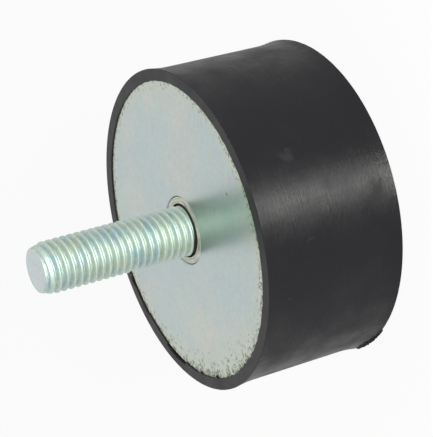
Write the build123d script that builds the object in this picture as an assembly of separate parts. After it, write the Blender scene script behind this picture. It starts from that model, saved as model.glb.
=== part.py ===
from build123d import *
import math
import os

# Bobbin vibration mount, in millimetres. Z is the mount's axis, with the stud upwards.
# The origin is the centre of the rear face, and the mount stands on the rubber rim there.
# Depths are measured from a plate's outer face into the mount.

# Rubber body
body_diameter = 75.0
body_height = 35.0
rim_flare = 0.5
flare_length = 5.5

# Steel end plates
plate_diameter = 71.0
plate_thickness = 3.0
plate_recess = 0.3
plate_edge_break = 0.35
hole_lip_width = 0.4

# Metric coarse thread, shared by the stud and both bushes
thread_diameter = 12.0
thread_pitch = 1.75
pitch_line_diameter = thread_diameter - 0.6495 * thread_pitch
tapped_bore_diameter = thread_diameter - 1.0825 * thread_pitch

# Threaded bushes
bush_neck_diameter = 16.2
bush_joint_depth = 0.35
crown_depth = 0.1
crown_land_width = 0.3
mouth_clearance = 0.35
shoulder_diameter = 22.0
shoulder_thickness = 3.0
barrel_diameter = 18.0
barrel_chamfer = 0.8
bush_floor_thickness = 1.5
drill_point_angle = 118.0
rubber_between_bushes = 5.4

# Stud, whose reach is counted from the rubber rim
stud_reach = 37.0
stud_tip_diameter = 10.2
stud_tip_taper = 2.8
stud_end_gap = 0.6

mouth_radius = thread_diameter / 2 + mouth_clearance
shoulder_end_depth = plate_thickness + shoulder_thickness
barrel_end_depth = (body_height - rubber_between_bushes) / 2 - plate_recess
drill_point_depth = barrel_end_depth - bush_floor_thickness
drill_point_slope = math.tan(math.radians(drill_point_angle / 2))
threaded_depth = drill_point_depth - tapped_bore_diameter / 2 / drill_point_slope


def turned(outline):
    """A solid of revolution about Z from a closed outline of radius and height."""
    return revolve(Plane.XZ * make_face(outline), Axis.Z)


def at_rear(shape):
    """Place a shape drawn from a plate's outer face, with its depth upwards, at the rear end."""
    return Pos(0, 0, plate_recess) * shape


def at_front(shape):
    """Place the same shape at the front end, where its depth runs downwards."""
    return Pos(0, 0, body_height - plate_recess) * Rot(180, 0, 0) * shape


# Plate: a blanked disc with broken outer edges. The edge of its hole is rounded inwards,
# where the neck of the bush is swaged into it.
def plate_disc():
    disc = extrude(Circle(plate_diameter / 2), plate_thickness)
    return chamfer(disc.edges(), plate_edge_break)


def end_plate():
    hole_radius = bush_neck_diameter / 2
    lip_radius = hole_radius + hole_lip_width
    lip = TangentArc((lip_radius, 0), (hole_radius, bush_joint_depth), tangent=(-1, 0))
    sides = Polyline(
        (hole_radius, bush_joint_depth),
        (hole_radius, plate_thickness),
        (0, plate_thickness),
        (0, 0),
        (lip_radius, 0),
    )
    return plate_disc() - turned([lip, sides])


# Bush: a turned blind nut. Its neck fills the plate's hole and ends in a rounded crown,
# its shoulder bears on the back of the plate, and its barrel is buried in the rubber.
def bush_envelope():
    neck_radius = bush_neck_diameter / 2
    land_radius = mouth_radius + crown_land_width
    crown = TangentArc((land_radius, crown_depth), (neck_radius, bush_joint_depth), tangent=(1, 0))
    sides = Polyline(
        (neck_radius, bush_joint_depth),
        (neck_radius, plate_thickness),
        (shoulder_diameter / 2, plate_thickness),
        (shoulder_diameter / 2, shoulder_end_depth),
        (barrel_diameter / 2, shoulder_end_depth),
        (barrel_diameter / 2, barrel_end_depth - barrel_chamfer),
        (barrel_diameter / 2 - barrel_chamfer, barrel_end_depth),
        (0, barrel_end_depth),
        (0, crown_depth),
        (land_radius, crown_depth),
    )
    return turned([crown, sides])


def threaded_bush(bore_diameter):
    bore_radius = bore_diameter / 2
    bore = Polyline(
        (0, crown_depth),
        (mouth_radius, crown_depth),
        (bore_radius, crown_depth + mouth_radius - bore_radius),
        (bore_radius, drill_point_depth - bore_radius / drill_point_slope),
        (0, drill_point_depth),
        close=True,
    )
    return bush_envelope() - turned(bore)


# Stud: a length of threaded rod, screwed and locked in the front bush. Outside it has the
# thread's full diameter, and inside it meets the bush at the pitch line.
def stud():
    full_radius = thread_diameter / 2
    pitch_line_radius = pitch_line_diameter / 2
    tip_depth = -plate_recess - stud_reach
    outline = Polyline(
        (0, threaded_depth - stud_end_gap),
        (pitch_line_radius, threaded_depth - stud_end_gap),
        (pitch_line_radius, crown_depth + full_radius - pitch_line_radius),
        (full_radius, crown_depth),
        (full_radius, tip_depth + stud_tip_taper),
        (stud_tip_diameter / 2, tip_depth),
        (0, tip_depth),
        close=True,
    )
    return turned(outline)


# Rubber body: moulded round the plates and bushes and bonded to them. Its wall is a little
# hollow and flares out to a sharp rim at each end, which stands just proud of the plate.
def rubber_body():
    wall_radius = body_diameter / 2
    rim_radius = wall_radius + rim_flare
    wall_top = body_height - flare_length
    outline = [
        TangentArc((wall_radius, flare_length), (rim_radius, 0), tangent=(0, -1)),
        Line((wall_radius, flare_length), (wall_radius, wall_top)),
        TangentArc((wall_radius, wall_top), (rim_radius, body_height), tangent=(0, 1)),
        Polyline((rim_radius, body_height), (0, body_height), (0, 0), (rim_radius, 0)),
    ]
    body = turned(outline)
    recess = Pos(0, 0, -plate_recess) * extrude(
        Circle(plate_diameter / 2), plate_recess + plate_edge_break
    )
    for place in (at_rear, at_front):
        body -= place(recess)
        body -= place(plate_disc())
        body -= place(bush_envelope())
    return body


parts = {
    "rubber_body": rubber_body(),
    "front_plate": at_front(end_plate()),
    "rear_plate": at_rear(end_plate()),
    "front_bush": at_front(threaded_bush(pitch_line_diameter)),
    "rear_bush": at_rear(threaded_bush(tapped_bore_diameter)),
    "stud": at_front(stud()),
}

os.makedirs("parts", exist_ok=True)
for name, shape in parts.items():
    export_step(shape, "parts/" + name + ".step")
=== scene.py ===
import math

import bmesh
import bpy
from mathutils import Matrix, Vector, noise


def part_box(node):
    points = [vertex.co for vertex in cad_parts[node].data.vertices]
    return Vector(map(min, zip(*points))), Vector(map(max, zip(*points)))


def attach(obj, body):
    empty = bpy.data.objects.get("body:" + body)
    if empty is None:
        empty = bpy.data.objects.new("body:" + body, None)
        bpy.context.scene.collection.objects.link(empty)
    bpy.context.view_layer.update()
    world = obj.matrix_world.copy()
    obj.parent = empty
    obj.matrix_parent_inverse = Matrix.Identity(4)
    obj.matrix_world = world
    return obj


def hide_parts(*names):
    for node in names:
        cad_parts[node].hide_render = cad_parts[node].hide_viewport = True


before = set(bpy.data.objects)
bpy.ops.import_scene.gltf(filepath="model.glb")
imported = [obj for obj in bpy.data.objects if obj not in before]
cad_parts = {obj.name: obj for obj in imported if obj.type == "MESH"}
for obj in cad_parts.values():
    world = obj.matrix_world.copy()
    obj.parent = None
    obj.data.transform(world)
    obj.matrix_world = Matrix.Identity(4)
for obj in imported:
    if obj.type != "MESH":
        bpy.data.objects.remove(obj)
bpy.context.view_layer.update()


# Rubber body: black natural rubber, moulded round the two steel plates and bonded to them.
# The turned mould leaves fine lines round its wall and a sharp flared rim at each end. The
# rim creeps over the plate's edge in places, and a torn strip of flash hangs at the rear.
MM = 0.001
rim_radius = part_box("rubber_body")[1].x
body_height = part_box("rubber_body")[1].z
plate_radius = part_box("front_plate")[1].x
front_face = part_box("front_plate")[1].z
rear_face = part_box("rear_plate")[0].z
drawn_height = 35.0
rim_flare = 0.5 * MM
flare_length = 5.5 * MM
rim_round = 0.1 * MM
rim_land_width = 0.15 * MM
cad_clearance = 0.01 * MM
plate_edge_break = 0.35 * MM
lip_overlap = 0.04 * MM
lip_outward_limit = 0.1 * MM
lip_back_depth = 1.25 * MM
gap_floor_depth = 1.2 * MM
bonded_depth = 0.02 * MM
flash_height = 1.5 * MM
flash_reach = 0.42 * MM
flash_band = 1.2 * MM
flash_start = 215.5
flash_end = 236.0
dirty_side = 208
dirty_half_width = 50

# Spots on the rims: azimuth and half width in degrees, then width, depth or height.
lip_gaps = [(133.5, 3.5, 0.7 * MM), (142.5, 7.5, 0.08 * MM), (173.2, 7.6, 0.65 * MM)]
rim_nicks = [(326.0, 1.0, 0.2 * MM), (242.5, 1.4, 0.12 * MM), (281.0, 0.8, 0.1 * MM)]
rear_bumps = [(335.5, 3.0, 0.16 * MM), (320.0, 3.0, 0.1 * MM)]

# The lip's rounded edge: millimetres outwards from the edge and down from the rim.
lip_round = [(0.35, 0.0), (0.22, 0.0), (0.1, 0.03), (0.03, 0.1), (0.0, 0.2)]


def degrees_from(angle, centre):
    """How far an angle in radians lies from a centre in degrees, in degrees either way."""
    return (math.degrees(angle) - centre + 180) % 360 - 180


def hill(offset, half_width):
    """A smooth hill from 1 at no offset to 0 at its half width."""
    return 0.5 + 0.5 * math.cos(math.pi * min(1.0, abs(offset) / half_width))


def ripple(angle, waves, layer):
    """Smooth random ripple from about -1 to 1 that closes on itself round the body."""
    return noise.noise((math.cos(angle) * waves, math.sin(angle) * waves, layer))


def mesh_piece(name, points, faces, crease):
    """A new piece with smooth faces and edges crisp above the crease angle in degrees."""
    mesh = bpy.data.meshes.new(name)
    mesh.from_pydata(points, [], faces)
    work = bmesh.new()
    work.from_mesh(mesh)
    bmesh.ops.remove_doubles(work, verts=work.verts, dist=0.0005 * MM)
    work.to_mesh(mesh)
    work.free()
    mesh.shade_smooth()
    mesh.set_sharp_from_angle(angle=math.radians(crease))
    piece = bpy.data.objects.new(name, mesh)
    bpy.context.scene.collection.objects.link(piece)
    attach(piece, "root")
    return piece


def lathe(name, section, segments):
    """A closed piece turned about Z: section(angle) is the outline's radii and heights there."""
    points = []
    for k in range(segments):
        angle = 2 * math.pi * k / segments
        for radius, height in section(angle):
            points.append((radius * math.cos(angle), radius * math.sin(angle), height))
    count = len(points) // segments
    faces = []
    for k in range(segments):
        here = k * count
        there = (k + 1) % segments * count
        for i in range(count):
            j = (i + 1) % count
            faces.append((here + i, there + i, there + j, here + j))
    return mesh_piece(name, points, faces, 40)


def lip_outline(angle, face, rim, layer):
    """The rim's inner edge, from the rim down to the plate. face and rim are their heights.

    The edge wanders a little all round, and several times as much on the dirty side.
    """
    inward = 1 if face > rim else -1
    gap = 0.0
    if layer == 0:
        for centre, half_width, width in lip_gaps:
            gap = max(gap, width * hill(degrees_from(angle, centre), half_width) ** 0.2)
    torn = hill(degrees_from(angle, dirty_side), dirty_half_width)
    ragged = (0.16 + 0.8 * torn) * ripple(angle, 20, layer) * MM
    ragged += (0.08 + 0.25 * torn) * ripple(angle, 48, layer + 5) * MM
    if gap > 0:
        radius = plate_radius + gap
        foot = face + inward * gap_floor_depth
    else:
        radius = plate_radius - plate_edge_break - lip_overlap + min(ragged, lip_outward_limit)
        foot = face + inward * bonded_depth
    edge = [(radius + out * MM, rim + inward * down * MM) for out, down in lip_round]
    return edge + [(radius, foot), (plate_radius + gap, face + inward * lip_back_depth)]


def flash_share(angle):
    """The torn strip: a pointed tip where it starts, ragged along it, then fading away."""
    along = (math.degrees(angle) - flash_start) / (flash_end - flash_start)
    if not 0 < along < 1:
        return 0.0
    rise = min(1.0, 0.35 + along / 0.5)
    fade = min(1.0, (1 - along) / 0.55)
    return max(0.0, rise * fade * (1.0 + 0.5 * ripple(angle, 60, 8.0)))


def rubber_section(angle):
    """Radii and heights from the rear rim up the wall, over the front lip and back behind it."""
    wall_radius = rim_radius - rim_flare
    rear_rag = 0.05 * MM * ripple(angle, 14, 3.0) + 0.03 * MM * ripple(angle, 60, 3.5)
    for centre, half_width, rise in rear_bumps:
        rear_rag += rise * hill(degrees_from(angle, centre), half_width)
    front_rag = 0.04 * MM * ripple(angle, 14, 4.0) + 0.02 * MM * ripple(angle, 60, 4.5)
    for centre, half_width, depth in rim_nicks:
        front_rag -= depth * hill(degrees_from(angle, centre), half_width)
    flash = flash_share(angle)
    outline = []
    # Loops in millimetres, close together at the rims and through the flash
    heights = [0.0, 0.1, 0.25, 0.4, 0.6, 0.8, 1.0, 1.15, 1.3, 1.45, 1.7, 2.2, 3.0, 4.0]
    heights += [5.5 + 1.5 * k for k in range(17)]
    heights += [31.0, 32.2, 33.2, 34.0, 34.5, 34.8, 34.92, drawn_height]
    for mm in heights:
        height = mm * body_height / drawn_height
        low = max(0.0, 1 - height / flare_length)
        high = max(0.0, 1 - (body_height - height) / flare_length)
        radius = wall_radius + rim_flare * (low * low + high * high)
        radius += rear_rag * low ** 4 + front_rag * high ** 9
        radius = min(radius, rim_radius - cad_clearance)
        torn = 0.5 + 0.9 * noise.noise((math.degrees(angle) * 0.8, height * 1600, 2.0))
        if height < flash_height * flash:
            radius += flash_reach * (0.5 + 0.6 * torn) * (1 - 0.3 * height / flash_height)
        if mm in (0.0, drawn_height):
            radius -= rim_round
        outline.append((radius, height))
    front_land = (outline[-1][0] - rim_land_width, body_height)
    rear_land = (outline[0][0] - rim_land_width, 0.0)
    outline += [front_land] + lip_outline(angle, front_face, body_height, 0)
    outline += lip_outline(angle, rear_face, 0.0, 20)[::-1] + [rear_land]
    return outline


rubber = lathe("rubber_body_moulded", rubber_section, 900)

# The flat rims take the rim's finish and the flash takes the torn one
for face in rubber.data.polygons:
    spot = face.center
    turned_to = math.degrees(math.atan2(spot.y, spot.x)) % 360
    if abs(face.normal.z) > 0.7:
        face.material_index = 2
    if spot.z < flash_height * flash_share(math.radians(turned_to)):
        if math.hypot(spot.x, spot.y) > rim_radius - flash_band:
            face.material_index = 1
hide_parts("rubber_body")


def colour(code):
    """Linear colour from an sRGB hex code."""
    values = [int(code[i:i + 2], 16) / 255 for i in (1, 3, 5)]
    return [v / 12.92 if v <= 0.04045 else ((v + 0.055) / 1.055) ** 2.4 for v in values] + [1]


def per_metre(mm):
    """Pattern scale for a feature of this size."""
    return 1 / (mm * MM)


def new_material(name):
    material = bpy.data.materials.new(name)
    material.use_nodes = True
    material.node_tree.nodes.clear()
    return material


def add_node(tree, kind, inputs=None, **settings):
    """Add a node with its settings. An input is a value, or another node's output to link."""
    made = tree.nodes.new(kind)
    for name, value in settings.items():
        setattr(made, name, value)
    for name, value in (inputs or {}).items():
        if isinstance(value, bpy.types.NodeSocket):
            tree.links.new(value, made.inputs[name])
        else:
            made.inputs[name].default_value = value
    return made


def wall_distance(tree, place, azimuth, height):
    """Distance from a spot on the wall, given by its azimuth in degrees and its height."""
    wall_radius = rim_radius - rim_flare
    around = math.radians(azimuth)
    spot = (wall_radius * math.cos(around), wall_radius * math.sin(around), height)
    return add_node(
        tree, "ShaderNodeVectorMath", {0: place, 1: spot}, operation="DISTANCE",
    ).outputs["Value"]


# Marks on the wall: azimuth in degrees, height and reach. A speck also has its paleness.
# Their outlines stray by up to a share of stray_reach.
dull_scuffs = [(292.5, 7.0 * MM, 3.4 * MM), (297.0, 4.8 * MM, 2.6 * MM)]
pale_specks = [
    (267.1, 29.8 * MM, 0.35 * MM, 0.14),
    (286.0, 23.5 * MM, 0.35 * MM, 0.2),
    (315.1, 23.5 * MM, 1.9 * MM, 0.05),
]
stray_reach = 5 * MM


# Moulded natural rubber: nearly black, with a satin skin, smudges and a few ragged marks.
# Lines of the turned mould draw a lamp out into one soft streak along the wall. They are
# 0.3 mm apart, coarser than real, so that they show. The flat rim has no streak.
def moulded_rubber(name, streak):
    material = new_material(name)
    tree = material.node_tree
    place = add_node(tree, "ShaderNodeTexCoord").outputs["Object"]
    stretch = (per_metre(14), per_metre(14), per_metre(0.3))
    lines = add_node(tree, "ShaderNodeMapping", {"Vector": place, "Scale": stretch})
    tool_lines = add_node(
        tree, "ShaderNodeTexNoise",
        {"Vector": lines.outputs["Vector"], "Scale": 1.0, "Detail": 3.0, "Roughness": 0.65},
    )
    smudges = add_node(
        tree, "ShaderNodeTexNoise",
        {"Vector": place, "Scale": per_metre(7), "Detail": 5.0, "Roughness": 0.6},
    )
    grain = add_node(
        tree, "ShaderNodeTexNoise",
        {"Vector": place, "Scale": per_metre(0.5), "Detail": 2.0},
    )
    dust = add_node(
        tree, "ShaderNodeMapRange",
        {"Value": smudges.outputs["Fac"], "From Min": 0.45, "From Max": 0.75},
    )
    tone = add_node(
        tree, "ShaderNodeMixRGB",
        {
            "Fac": dust.outputs["Result"],
            "Color1": colour("#0d0d0f"),
            "Color2": colour("#17161a"),
        },
    ).outputs["Color"]
    sheen = add_node(
        tree, "ShaderNodeMapRange",
        {
            "Value": smudges.outputs["Fac"],
            "From Min": 0.35, "From Max": 0.7, "To Min": 0.35, "To Max": 0.54,
        },
    ).outputs["Result"]
    stray = add_node(
        tree, "ShaderNodeTexNoise",
        {"Vector": place, "Scale": per_metre(1.8), "Detail": 3.0, "Roughness": 0.6},
    ).outputs["Color"]
    centred = add_node(
        tree, "ShaderNodeVectorMath", {0: stray, 1: (0.5, 0.5, 0.5)}, operation="SUBTRACT",
    ).outputs["Vector"]
    ragged_place = add_node(
        tree, "ShaderNodeVectorMath",
        {0: centred, 1: (stray_reach, stray_reach, stray_reach), 2: place},
        operation="MULTIPLY_ADD",
    ).outputs["Vector"]
    for azimuth, height, reach in dull_scuffs:
        from_scuff = wall_distance(tree, ragged_place, azimuth, height)
        fade = add_node(
            tree, "ShaderNodeMapRange",
            {
                "Value": from_scuff,
                "From Min": 0.1 * reach, "From Max": reach, "To Min": 0.25, "To Max": 0.0,
            },
        ).outputs["Result"]
        sheen = add_node(
            tree, "ShaderNodeMath", {0: sheen, 1: fade}, operation="ADD",
        ).outputs["Value"]
    for azimuth, height, reach, paleness in pale_specks:
        from_speck = wall_distance(tree, ragged_place, azimuth, height)
        share = add_node(
            tree, "ShaderNodeMapRange",
            {
                "Value": from_speck,
                "From Min": 0.4 * reach, "From Max": reach,
                "To Min": paleness, "To Max": 0.0,
            },
        ).outputs["Result"]
        tone = add_node(
            tree, "ShaderNodeMixRGB",
            {"Fac": share, "Color1": tone, "Color2": colour("#77777b")},
        ).outputs["Color"]
    skin = add_node(
        tree, "ShaderNodeBump",
        {"Height": grain.outputs["Fac"], "Strength": 0.3, "Distance": 0.02 * MM},
    )
    surface = add_node(
        tree, "ShaderNodeBump",
        {
            "Height": tool_lines.outputs["Fac"],
            "Strength": 1.0,
            "Distance": 0.09 * MM,
            "Normal": skin.outputs["Normal"],
        },
    )
    round_z = add_node(tree, "ShaderNodeTangent", direction_type="RADIAL", axis="Z")
    shader = add_node(
        tree, "ShaderNodeBsdfPrincipled",
        {
            "Base Color": tone,
            "Roughness": sheen,
            "IOR": 1.5,
            "Specular IOR Level": 0.3,
            "Specular Tint": colour("#fff7ff"),
            "Anisotropic": streak,
            "Anisotropic Rotation": 0.25,
            "Tangent": round_z.outputs["Tangent"],
            "Normal": surface.outputs["Normal"],
        },
    )
    add_node(tree, "ShaderNodeOutputMaterial", {"Surface": shader.outputs["BSDF"]})
    return material


# Torn rubber of the flash: jet black, dull and crumbly, with no skin.
def torn_rubber():
    material = new_material("torn_black_rubber")
    tree = material.node_tree
    place = add_node(tree, "ShaderNodeTexCoord").outputs["Object"]
    crumbs = add_node(
        tree, "ShaderNodeTexNoise",
        {"Vector": place, "Scale": per_metre(0.4), "Detail": 4.0, "Roughness": 0.7},
    )
    tone = add_node(
        tree, "ShaderNodeMixRGB",
        {
            "Fac": crumbs.outputs["Fac"],
            "Color1": colour("#050506"),
            "Color2": colour("#151517"),
        },
    )
    surface = add_node(
        tree, "ShaderNodeBump",
        {"Height": crumbs.outputs["Fac"], "Strength": 1.0, "Distance": 0.3 * MM},
    )
    shader = add_node(
        tree, "ShaderNodeBsdfPrincipled",
        {
            "Base Color": tone.outputs["Color"],
            "Roughness": 0.85,
            "IOR": 1.5,
            "Specular IOR Level": 0.15,
            "Normal": surface.outputs["Normal"],
        },
    )
    add_node(tree, "ShaderNodeOutputMaterial", {"Surface": shader.outputs["BSDF"]})
    return material


rubber.data.materials.append(moulded_rubber("moulded_rubber_wall", 0.98))
rubber.data.materials.append(torn_rubber())
rubber.data.materials.append(moulded_rubber("moulded_rubber_rim", 0.0))


# End plates: steel discs blanked from sheet, zinc plated, then moulded in. The edge of the
# hole is rounded round the bush. Mould dirt and rubber smears stay near the rim.
hole_radius = 8.1 * MM
hole_lip_width = 0.4 * MM
joint_depth = 0.35 * MM
hole_lip_rise = 0.1 * MM
plate_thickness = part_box("front_plate")[1].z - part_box("front_plate")[0].z


def arc_points(start, end, steps, rise):
    """Points on a shallow arc from start to end, bulging towards the outer face by rise."""
    made = []
    for k in range(1, steps):
        part = k / steps
        swell = rise * math.sin(math.pi * part)
        radius = start[0] + (end[0] - start[0]) * part
        made.append((radius, start[1] + (end[1] - start[1]) * part - swell))
    return made


def end_plate_outline():
    """Radii and depths from the plate's outer face, from the hole outwards and back inside."""
    back = plate_thickness
    lip_start = (hole_radius + hole_lip_width, 0.0)
    outline = [(hole_radius, joint_depth)]
    outline += arc_points(outline[0], lip_start, 8, hole_lip_rise)
    outline += [lip_start]
    outline += [(r * MM, 0.0) for r in (12, 16, 20, 24, 28, 32, 34)]
    outline += [
        (plate_radius - plate_edge_break, 0.0),
        (plate_radius, plate_edge_break),
        (plate_radius, back - plate_edge_break),
        (plate_radius - plate_edge_break, back),
        (hole_radius, back),
    ]
    return outline


def at_front(outline):
    """Turn radii and depths at the front end into radii and heights for the lathe."""
    return [(radius, front_face - depth) for radius, depth in outline][::-1]


def at_rear(outline):
    """The same at the rear end, where the depth runs upwards."""
    return [(radius, rear_face + depth) for radius, depth in outline]


front_plate = lathe("front_plate_plated", lambda angle: at_front(end_plate_outline()), 360)
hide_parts("front_plate")
rear_plate = lathe("rear_plate_plated", lambda angle: at_rear(end_plate_outline()), 360)
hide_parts("rear_plate")


# Clouds of passivated zinc: a base tone with a warm and a cool one drifting over it, and a
# fine spangle, as the bath leaves them. They are 10 to 15 mm wide on the plates.
def zinc_tone(tree, place, size, codes):
    base, warm, cool = codes
    drift = add_node(tree, "ShaderNodeMapping", {"Vector": place, "Location": (0.3, 0.1, 0.7)})
    warm_clouds = add_node(
        tree, "ShaderNodeTexNoise",
        {"Vector": place, "Scale": per_metre(size), "Detail": 3.0, "Roughness": 0.5},
    )
    cool_clouds = add_node(
        tree, "ShaderNodeTexNoise",
        {"Vector": drift.outputs["Vector"], "Scale": per_metre(size * 0.8), "Detail": 3.0},
    )
    warm_share = add_node(
        tree, "ShaderNodeMapRange",
        {"Value": warm_clouds.outputs["Fac"], "From Min": 0.42, "From Max": 0.7},
    )
    cool_share = add_node(
        tree, "ShaderNodeMapRange",
        {"Value": cool_clouds.outputs["Fac"], "From Min": 0.42, "From Max": 0.72},
    )
    warmed = add_node(
        tree, "ShaderNodeMixRGB",
        {"Fac": warm_share.outputs["Result"], "Color1": colour(base), "Color2": colour(warm)},
    )
    cooled = add_node(
        tree, "ShaderNodeMixRGB",
        {
            "Fac": cool_share.outputs["Result"],
            "Color1": warmed.outputs["Color"],
            "Color2": colour(cool),
        },
    )
    spangle = add_node(
        tree, "ShaderNodeTexNoise",
        {"Vector": place, "Scale": per_metre(0.9), "Detail": 4.0, "Roughness": 0.7},
    )
    fleck = add_node(
        tree, "ShaderNodeMapRange",
        {"Value": spangle.outputs["Fac"], "From Min": 0.35, "From Max": 0.65, "To Max": 0.3},
    )
    return add_node(
        tree, "ShaderNodeMixRGB",
        {
            "Fac": fleck.outputs["Result"],
            "Color1": cooled.outputs["Color"],
            "Color2": colour("#97a29d"),
        },
    ).outputs["Color"]


# Bright zinc plate on cold-rolled steel: a milky, bluish silver that blurs what it reflects.
# Near the rim the mould leaves a cream film, dark specks and short smears that run inwards,
# thickest on one side.
def plated_plate():
    material = new_material("zinc_plated_sheet_steel")
    tree = material.node_tree
    place = add_node(tree, "ShaderNodeTexCoord").outputs["Object"]
    zinc = zinc_tone(tree, place, 13, ("#b4c1bf", "#c0c2bb", "#b1bdc0"))
    flat = add_node(
        tree, "ShaderNodeVectorMath", {0: place, 1: (1, 1, 0)}, operation="MULTIPLY",
    ).outputs["Vector"]
    from_axis = add_node(
        tree, "ShaderNodeVectorMath", {0: flat}, operation="LENGTH",
    ).outputs["Value"]
    heading = add_node(
        tree, "ShaderNodeVectorMath", {0: flat}, operation="NORMALIZE",
    ).outputs["Vector"]
    worst = math.radians(dirty_side)
    facing = add_node(
        tree, "ShaderNodeVectorMath",
        {0: heading, 1: (math.cos(worst), math.sin(worst), 0)}, operation="DOT_PRODUCT",
    ).outputs["Value"]
    dirt_side = add_node(
        tree, "ShaderNodeMapRange",
        {"Value": facing, "From Min": 0.2, "From Max": 0.95},
    ).outputs["Result"]
    near_rim = add_node(
        tree, "ShaderNodeMapRange",
        {
            "Value": from_axis,
            "From Min": plate_radius - 4.5 * MM,
            "From Max": plate_radius - 0.8 * MM,
        },
    ).outputs["Result"]
    wide_rim = add_node(
        tree, "ShaderNodeMapRange",
        {
            "Value": from_axis,
            "From Min": plate_radius - 9.0 * MM,
            "From Max": plate_radius - 1.0 * MM,
        },
    ).outputs["Result"]
    dirty_rim = add_node(
        tree, "ShaderNodeMath", {0: wide_rim, 1: dirt_side}, operation="MULTIPLY",
    ).outputs["Value"]
    thinned = add_node(
        tree, "ShaderNodeMapRange",
        {"Value": facing, "From Min": -0.9, "From Max": 0.0, "To Min": 0.7, "To Max": 1.0},
    ).outputs["Result"]
    film_rim = add_node(
        tree, "ShaderNodeMath", {0: near_rim, 1: thinned}, operation="MULTIPLY",
    ).outputs["Value"]
    reach = add_node(
        tree, "ShaderNodeMath", {0: film_rim, 1: dirty_rim}, operation="MAXIMUM",
    ).outputs["Value"]
    film_patches = add_node(
        tree, "ShaderNodeTexNoise",
        {"Vector": place, "Scale": per_metre(3.5), "Detail": 4.0, "Roughness": 0.6},
    ).outputs["Fac"]
    film = add_node(
        tree, "ShaderNodeMath", {0: reach, 1: film_patches}, operation="MULTIPLY",
    ).outputs["Value"]
    film_share = add_node(
        tree, "ShaderNodeMapRange",
        {"Value": film, "From Min": 0.08, "From Max": 0.5, "To Max": 0.85},
    ).outputs["Result"]
    filmed = add_node(
        tree, "ShaderNodeMixRGB",
        {"Fac": film_share, "Color1": zinc, "Color2": colour("#babfad")},
    ).outputs["Color"]
    specks = add_node(
        tree, "ShaderNodeTexNoise",
        {"Vector": place, "Scale": per_metre(0.9), "Detail": 3.0, "Roughness": 0.7},
    ).outputs["Fac"]
    speck_limit = add_node(
        tree, "ShaderNodeMapRange",
        {"Value": reach, "To Min": 0.72, "To Max": 0.47},
    ).outputs["Result"]
    speck_over = add_node(
        tree, "ShaderNodeMath", {0: specks, 1: speck_limit}, operation="SUBTRACT",
    ).outputs["Value"]
    speck_share = add_node(
        tree, "ShaderNodeMapRange",
        {"Value": speck_over, "From Min": 0.0, "From Max": 0.08, "To Max": 0.75},
    ).outputs["Result"]
    specked = add_node(
        tree, "ShaderNodeMixRGB",
        {"Fac": speck_share, "Color1": filmed, "Color2": colour("#55564a")},
    ).outputs["Color"]
    round_rim = add_node(
        tree, "ShaderNodeVectorMath", {0: heading, "Scale": 48.0}, operation="SCALE",
    ).outputs["Vector"]
    inwards = add_node(
        tree, "ShaderNodeMath", {0: from_axis, 1: per_metre(1.4)}, operation="MULTIPLY",
    ).outputs["Value"]
    lift = add_node(tree, "ShaderNodeCombineXYZ", {"Z": inwards}).outputs["Vector"]
    smear_place = add_node(
        tree, "ShaderNodeVectorMath", {0: round_rim, 1: lift}, operation="ADD",
    ).outputs["Vector"]
    smears = add_node(
        tree, "ShaderNodeTexNoise",
        {"Vector": smear_place, "Scale": 1.0, "Detail": 3.0, "Roughness": 0.6},
    ).outputs["Fac"]
    smear_reach = add_node(
        tree, "ShaderNodeMath", {0: near_rim, 1: dirt_side}, operation="MULTIPLY",
    ).outputs["Value"]
    smear_limit = add_node(
        tree, "ShaderNodeMapRange",
        {"Value": smear_reach, "To Min": 0.85, "To Max": 0.44},
    ).outputs["Result"]
    smear_over = add_node(
        tree, "ShaderNodeMath", {0: smears, 1: smear_limit}, operation="SUBTRACT",
    ).outputs["Value"]
    smear_share = add_node(
        tree, "ShaderNodeMapRange",
        {"Value": smear_over, "From Min": 0.0, "From Max": 0.22, "To Max": 0.8},
    ).outputs["Result"]
    smeared = add_node(
        tree, "ShaderNodeMixRGB",
        {"Fac": smear_share, "Color1": specked, "Color2": colour("#43443c")},
    ).outputs["Color"]
    pit_turn = math.radians(311.2)
    pit_radius = 26.5 * MM
    pit_spot = (pit_radius * math.cos(pit_turn), pit_radius * math.sin(pit_turn), front_face)
    from_pit = add_node(
        tree, "ShaderNodeVectorMath", {0: place, 1: pit_spot}, operation="DISTANCE",
    ).outputs["Value"]
    pit_share = add_node(
        tree, "ShaderNodeMapRange",
        {
            "Value": from_pit,
            "From Min": 0.1 * MM, "From Max": 0.45 * MM, "To Min": 0.8, "To Max": 0.0,
        },
    ).outputs["Result"]
    pitted = add_node(
        tree, "ShaderNodeMixRGB",
        {"Fac": pit_share, "Color1": smeared, "Color2": colour("#3b4038")},
    ).outputs["Color"]
    grain = add_node(
        tree, "ShaderNodeTexNoise",
        {"Vector": place, "Scale": per_metre(0.7), "Detail": 3.0, "Roughness": 0.6},
    )
    surface = add_node(
        tree, "ShaderNodeBump",
        {"Height": grain.outputs["Fac"], "Strength": 0.5, "Distance": 0.02 * MM},
    )
    shader = add_node(
        tree, "ShaderNodeBsdfPrincipled",
        {
            "Base Color": pitted,
            "Metallic": 1.0,
            "Roughness": 0.3,
            "Normal": surface.outputs["Normal"],
        },
    )
    add_node(tree, "ShaderNodeOutputMaterial", {"Surface": shader.outputs["BSDF"]})
    return material


plate_finish = plated_plate()
for plate in (front_plate, rear_plate):
    plate.data.materials.append(plate_finish)


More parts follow.
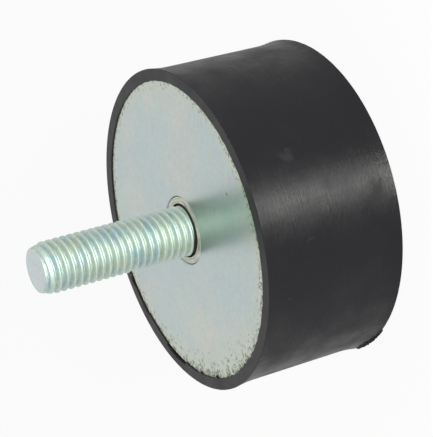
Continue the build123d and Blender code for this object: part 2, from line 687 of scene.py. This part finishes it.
# Bushes: blind nuts turned from bar and swaged into the plates. The crown round the mouth
# keeps the rings of the turning tool, drawn coarser than real so that they show. The rear
# bush is open and shows its tapped thread.
thread_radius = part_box("stud")[1].x
thread_pitch = 1.75 * MM
mouth_radius = thread_radius + 0.4 * MM
crown_depth = 0.1 * MM
crown_land_width = 0.25 * MM
crown_rise = 0.07 * MM
mouth_break_width = 0.06 * MM
mouth_break_depth = 0.05 * MM
joint_gap = 0.09 * MM
joint_gap_depth = 0.6 * MM
joint_gap_taper = 0.05 * MM
turned_ring_pitch = 0.4 * MM
turned_ring_depth = 0.1 * MM
bush_depth = front_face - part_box("front_bush")[0].z
shoulder_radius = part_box("front_bush")[1].x
shoulder_thickness = 3.0 * MM
barrel_radius = 9.0 * MM
throat_depth = 2.5 * MM
throat_floor_drop = 0.5 * MM
throat_step = 0.1 * MM
threaded_depth = 9.9 * MM
drill_point_length = 3.0 * MM
bore_rows_per_turn = 14
root_clearance = 0.05 * MM
nut_thread_share = 0.54127
tapped_radius = thread_radius - nut_thread_share * thread_pitch

# The rolled profile, in turns from the middle of a crest: where its root starts, the width
# of its flank, and the weights that round its corners.
thread_root_start = 0.44
thread_flank_width = 0.34
thread_rounding = [(-0.04, 0.25), (0.0, 0.5), (0.04, 0.25)]


def bush_outline():
    """Radii and depths of the bush, from its mouth over the crown and round the outside."""
    land = (mouth_radius + crown_land_width, crown_depth)
    joint = (hole_radius - joint_gap, joint_depth)
    crown = [land] + arc_points(land, joint, 36, crown_rise) + [joint]
    ringed = [
        (mouth_radius, crown_depth + mouth_break_depth),
        (mouth_radius + mouth_break_width, crown_depth),
    ]
    for radius, depth in crown:
        wave = 0.5 - 0.5 * math.cos(2 * math.pi * (radius - land[0]) / turned_ring_pitch)
        ringed.append((radius, depth + turned_ring_depth * wave))
    shoulder_end = plate_thickness + shoulder_thickness
    return ringed + [
        (hole_radius - joint_gap, joint_depth + joint_gap_depth),
        (hole_radius, joint_depth + joint_gap_depth + joint_gap_taper),
        (hole_radius, plate_thickness),
        (shoulder_radius, plate_thickness),
        (shoulder_radius, shoulder_end),
        (barrel_radius, shoulder_end),
        (barrel_radius, bush_depth),
    ]


def front_bush_section(angle):
    """The bush that the stud fills: only its throat is drawn, down to where the stud starts."""
    throat = [
        (0.0, bush_depth),
        (0.0, throat_depth + throat_floor_drop),
        (mouth_radius - throat_step, throat_depth),
    ]
    return at_front(bush_outline() + throat)


def thread_height(turns):
    """Height of a rolled thread's profile from 0 at its root to 1 at its crest."""
    off = abs(turns - round(turns))
    height = 0.0
    for shift, weight in thread_rounding:
        rise = (thread_root_start - abs(off + shift)) / thread_flank_width
        height += weight * min(1.0, max(0.0, rise))
    return height


def rear_bush_section(angle):
    """The open bush: its bore holds the tapped thread, below a cone at the mouth."""
    turn = angle / (2 * math.pi)
    cut_depth = thread_radius + root_clearance - tapped_radius
    bore = [(0.0, bush_depth), (0.0, threaded_depth + drill_point_length)]
    steps = int(threaded_depth / thread_pitch * bore_rows_per_turn)
    for k in range(steps):
        depth = threaded_depth - k * (threaded_depth - crown_depth - mouth_break_depth) / steps
        cut = cut_depth * thread_height(depth / thread_pitch + turn)
        cone = mouth_radius - max(0.0, depth - crown_depth)
        bore.append((min(mouth_radius, max(tapped_radius + cut, cone)), depth))
    return at_rear(bush_outline() + bore)


front_bush = lathe("front_bush_turned", front_bush_section, 240)
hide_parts("front_bush")
rear_bush = lathe("rear_bush_turned", rear_bush_section, 160)
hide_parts("rear_bush")


# Zinc on turned and rolled steel: a greenish, slightly creamy silver. Oil and dirt from the
# tools stay in the bush's turning rings. In the roots of the stud's thread the same darkening is
# painted shade. Both lie within the given radii.
def plated_turning(name, codes, roughness, stain_and_shade_radii, stain_and_shade_size, stain_and_shade_share):
    material = new_material(name)
    tree = material.node_tree
    place = add_node(tree, "ShaderNodeTexCoord").outputs["Object"]
    zinc = zinc_tone(tree, place, 5, codes)
    flat = add_node(
        tree, "ShaderNodeVectorMath", {0: place, 1: (1, 1, 0)}, operation="MULTIPLY",
    ).outputs["Vector"]
    from_axis = add_node(
        tree, "ShaderNodeVectorMath", {0: flat}, operation="LENGTH",
    ).outputs["Value"]
    deep_stain_and_shade = add_node(
        tree, "ShaderNodeMapRange",
        {"Value": from_axis, "From Min": stain_and_shade_radii[1], "From Max": stain_and_shade_radii[0]},
    ).outputs["Result"]
    rings_place = add_node(
        tree, "ShaderNodeVectorMath", {0: place, "Scale": per_metre(3.0)}, operation="SCALE",
    ).outputs["Vector"]
    ring_offset = add_node(
        tree, "ShaderNodeMath", {0: from_axis, 1: per_metre(stain_and_shade_size)}, operation="MULTIPLY",
    ).outputs["Value"]
    ring_lift = add_node(tree, "ShaderNodeCombineXYZ", {"Z": ring_offset}).outputs["Vector"]
    rings = add_node(
        tree, "ShaderNodeVectorMath", {0: rings_place, 1: ring_lift}, operation="ADD",
    ).outputs["Vector"]
    oil_and_shade = add_node(
        tree, "ShaderNodeTexNoise",
        {"Vector": rings, "Scale": 1.0, "Detail": 3.0, "Roughness": 0.6},
    ).outputs["Fac"]
    oil_and_shade_share = add_node(
        tree, "ShaderNodeMapRange",
        {"Value": oil_and_shade, "From Min": 0.42, "From Max": 0.68, "To Max": stain_and_shade_share},
    ).outputs["Result"]
    # On the bush this darkening is oil in the rings; in the stud's thread roots it is painted
    # shade.
    stain_and_shade = add_node(
        tree, "ShaderNodeMath", {0: oil_and_shade_share, 1: deep_stain_and_shade}, operation="MULTIPLY",
    ).outputs["Value"]
    stained_and_shaded = add_node(
        tree, "ShaderNodeMixRGB",
        {"Fac": stain_and_shade, "Color1": zinc, "Color2": colour("#6f7167")},
    ).outputs["Color"]
    grain = add_node(
        tree, "ShaderNodeTexNoise",
        {"Vector": place, "Scale": per_metre(0.45), "Detail": 3.0, "Roughness": 0.6},
    )
    surface = add_node(
        tree, "ShaderNodeBump",
        {"Height": grain.outputs["Fac"], "Strength": 0.6, "Distance": 0.03 * MM},
    )
    shader = add_node(
        tree, "ShaderNodeBsdfPrincipled",
        {
            "Base Color": stained_and_shaded,
            "Metallic": 1.0,
            "Roughness": roughness,
            "Normal": surface.outputs["Normal"],
        },
    )
    add_node(tree, "ShaderNodeOutputMaterial", {"Surface": shader.outputs["BSDF"]})
    return material


bush_finish = plated_turning(
    "zinc_plated_turned_steel", ("#c6cabb", "#cfc9b6", "#bcc8bc"), roughness=0.34,
    stain_and_shade_radii=(7.0 * MM, 9.0 * MM), stain_and_shade_size=0.3, stain_and_shade_share=0.85,
)
for bush in (front_bush, rear_bush):
    bush.data.materials.append(bush_finish)


# Stud: threaded rod, rolled to M12 x 1.75 right-hand, zinc plated, and locked in the front
# bush. Its crests are flat and a little rounded, and they run out on the tapered tip.
stud_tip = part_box("stud")[1].z
stud_foot = front_face - 3.0 * MM
bolt_thread_share = 0.61343
root_radius = thread_radius - bolt_thread_share * thread_pitch
tip_radius = 5.1 * MM
tip_taper = 2.8 * MM
tip_round = 0.12 * MM
rows_per_turn = 22
stud_segments = 144
thread_start_turn = 0.32
painted_shade_depth = 0.2 * MM
tip_tolerance = 0.01 * MM


def stud_piece():
    """Loops of the thread's radius up the stud, closed by a flat face at each end."""
    steps = int((stud_tip - stud_foot) / thread_pitch * rows_per_turn)
    points = []
    for k in range(steps + 1):
        height = stud_foot + (stud_tip - stud_foot) * k / steps
        to_tip = stud_tip - height
        cone = tip_radius + (thread_radius - tip_radius) * min(1.0, to_tip / tip_taper)
        if to_tip < tip_round:
            cone -= tip_round - math.sqrt(tip_round ** 2 - (tip_round - to_tip) ** 2)
        for i in range(stud_segments):
            angle = 2 * math.pi * i / stud_segments
            turns = to_tip / thread_pitch + angle / (2 * math.pi) + thread_start_turn
            crest = root_radius + (thread_radius - root_radius) * thread_height(turns)
            if to_tip < tip_round:
                crest = max(crest, cone)
            radius = min(crest, cone)
            points.append((radius * math.cos(angle), radius * math.sin(angle), height))
    faces = []
    for k in range(steps):
        for i in range(stud_segments):
            j = (i + 1) % stud_segments
            here = k * stud_segments
            there = here + stud_segments
            faces.append((here + i, here + j, there + j, there + i))
    top = steps * stud_segments
    faces.append([top + i for i in range(stud_segments)])
    faces.append([i for i in reversed(range(stud_segments))])
    piece = mesh_piece("stud_threaded", points, faces, 60)
    for face in piece.data.polygons:
        if face.center.z > stud_tip - tip_tolerance:
            face.use_smooth = False
            face.material_index = 1
        # Faces down in the joint take the near-black painted shade of the gap.
        if face.center.z < front_face - painted_shade_depth:
            face.material_index = 2
    return piece


stud = stud_piece()
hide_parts("stud")
# Within 5.5 mm of the axis the thread's roots are darkened: painted shade.
stud.data.materials.append(plated_turning(
    "zinc_plated_rolled_thread", ("#c3cfc6", "#cad0c4", "#b3c7ce"), roughness=0.62,
    stain_and_shade_radii=(4.9 * MM, 5.5 * MM), stain_and_shade_size=1.5, stain_and_shade_share=0.3,
))
stud.data.materials.append(plated_turning(
    "zinc_plated_cut_end", ("#c4cbcd", "#cccfce", "#c0cace"), roughness=0.45,
    stain_and_shade_radii=(4.9 * MM, 5.5 * MM), stain_and_shade_size=1.5, stain_and_shade_share=0.05,
))


# Painted shade in the narrow joint at the stud's foot: a near-black, dull line where the gap lies
# in shadow.
def joint_painted_shade():
    material = new_material("painted_joint_shade")
    tree = material.node_tree
    place = add_node(tree, "ShaderNodeTexCoord").outputs["Object"]
    shade_mottle = add_node(
        tree, "ShaderNodeTexNoise",
        {"Vector": place, "Scale": per_metre(0.8), "Detail": 3.0, "Roughness": 0.6},
    )
    tone = add_node(
        tree, "ShaderNodeMixRGB",
        {
            "Fac": shade_mottle.outputs["Fac"],
            "Color1": colour("#0d0e0c"),
            "Color2": colour("#2a2b26"),
        },
    )
    shader = add_node(
        tree, "ShaderNodeBsdfPrincipled",
        {"Base Color": tone.outputs["Color"], "Roughness": 0.6, "IOR": 1.5},
    )
    add_node(tree, "ShaderNodeOutputMaterial", {"Surface": shader.outputs["BSDF"]})
    return material


# The near-black painted shade of the joint at the stud's foot.
stud.data.materials.append(joint_painted_shade())


# Floor: a large sheet of matt white board. What the camera and the reflections see of it is
# lifted towards plain white, and it still takes the mount's soft shadow.
def seen_share(tree, share):
    """This share for rays from the camera, reflections and glass, and none for the rest."""
    path = add_node(tree, "ShaderNodeLightPath")
    direct = add_node(
        tree, "ShaderNodeMath",
        {0: path.outputs["Is Camera Ray"], 1: path.outputs["Is Glossy Ray"]}, operation="ADD",
    )
    seen = add_node(
        tree, "ShaderNodeMath",
        {0: direct.outputs["Value"], 1: path.outputs["Is Transmission Ray"]}, operation="ADD",
    )
    return add_node(
        tree, "ShaderNodeMath", {0: seen.outputs["Value"], 1: share}, operation="MULTIPLY",
        use_clamp=True,
    ).outputs["Value"]


def white_board():
    material = new_material("matt_white_board")
    tree = material.node_tree
    board = add_node(tree, "ShaderNodeBsdfDiffuse", {"Color": colour("#fafafa")})
    white = add_node(tree, "ShaderNodeEmission", {"Color": (1, 1, 1, 1), "Strength": 1.0})
    mixed = add_node(
        tree, "ShaderNodeMixShader",
        {
            "Fac": seen_share(tree, 0.9),
            1: board.outputs["BSDF"],
            2: white.outputs["Emission"],
        },
    )
    add_node(tree, "ShaderNodeOutputMaterial", {"Surface": mixed.outputs["Shader"]})
    return material


floor_reach = 6.0
floor_drop = 0.02 * MM
floor_corners = [
    (x * floor_reach, y * floor_reach, -floor_drop)
    for x, y in ((-1, -1), (1, -1), (1, 1), (-1, 1))
]
floor_mesh = bpy.data.meshes.new("floor")
floor_mesh.from_pydata(floor_corners, [], [(0, 1, 2, 3)])
floor_mesh.materials.append(white_board())
floor = bpy.data.objects.new("floor", floor_mesh)
bpy.context.scene.collection.objects.link(floor)


# Studio: an even pale room, with a low upright soft box beside the camera that draws the
# streak along the rubber wall, and a broad weak one high behind the mount for the plate.
def studio_room():
    world = bpy.data.worlds.new("studio_room")
    world.use_nodes = True
    tree = world.node_tree
    tree.nodes.clear()
    room = add_node(tree, "ShaderNodeBackground", {"Color": colour("#f1f3f5"), "Strength": 0.55})
    white = add_node(tree, "ShaderNodeBackground", {"Color": (1, 1, 1, 1), "Strength": 1.0})
    mixed = add_node(
        tree, "ShaderNodeMixShader",
        {
            "Fac": seen_share(tree, 1.0),
            1: room.outputs["Background"],
            2: white.outputs["Background"],
        },
    )
    add_node(tree, "ShaderNodeOutputWorld", {"Surface": mixed.outputs["Shader"]})
    return world


bpy.context.scene.world = studio_room()


def soft_box(name, azimuth, elevation, distance, width, height, power, code):
    """A rectangular lamp that faces the mount, from degrees round and above it."""
    light = bpy.data.lights.new(name, "AREA")
    light.shape = "RECTANGLE"
    light.size = width
    light.size_y = height
    light.energy = power
    light.color = colour(code)[:3]
    lamp = bpy.data.objects.new(name, light)
    around = math.radians(azimuth)
    up = math.radians(elevation)
    way = Vector((
        math.cos(around) * math.cos(up), math.sin(around) * math.cos(up), math.sin(up),
    ))
    lamp.location = Vector((0, 0, body_height / 2)) + way * distance
    lamp.rotation_euler = (-way).to_track_quat("-Z", "Y").to_euler()
    bpy.context.scene.collection.objects.link(lamp)


soft_box(
    "streak_box", azimuth=300, elevation=9, distance=0.6,
    width=0.12, height=0.18, power=5.4, code="#f7fff2",
)
soft_box(
    "back_box", azimuth=120, elevation=68, distance=1.0,
    width=0.8, height=0.8, power=0.6, code="#ffffff",
)


# Camera: a long lens above the rim of the front plate, rolled so that the stud points to
# the left of the picture.
view_azimuth = 29.893
view_elevation = 26.691
view_distance = 395.82 * MM
view_roll = -105.224
view_aim = Vector((0.57, 0.33, 25.52)) * MM

camera_data = bpy.data.cameras.new("camera")
camera_data.lens = 140.05
camera_data.sensor_width = 36.0
camera_data.clip_start = 0.01
camera_data.clip_end = 50.0
camera = bpy.data.objects.new("camera", camera_data)
bpy.context.scene.collection.objects.link(camera)
turn = math.radians(view_azimuth)
lift = math.radians(view_elevation)
back = Vector((math.sin(turn) * math.cos(lift), -math.cos(turn) * math.cos(lift), math.sin(lift)))
level = (-back).to_track_quat("-Z", "Y").to_matrix()
rolled = level @ Matrix.Rotation(math.radians(view_roll), 3, "Z")
camera.matrix_world = Matrix.Translation(view_aim + back * view_distance) @ rolled.to_4x4()
bpy.context.scene.camera = camera
bpy.context.scene.view_settings.view_transform = "Standard"
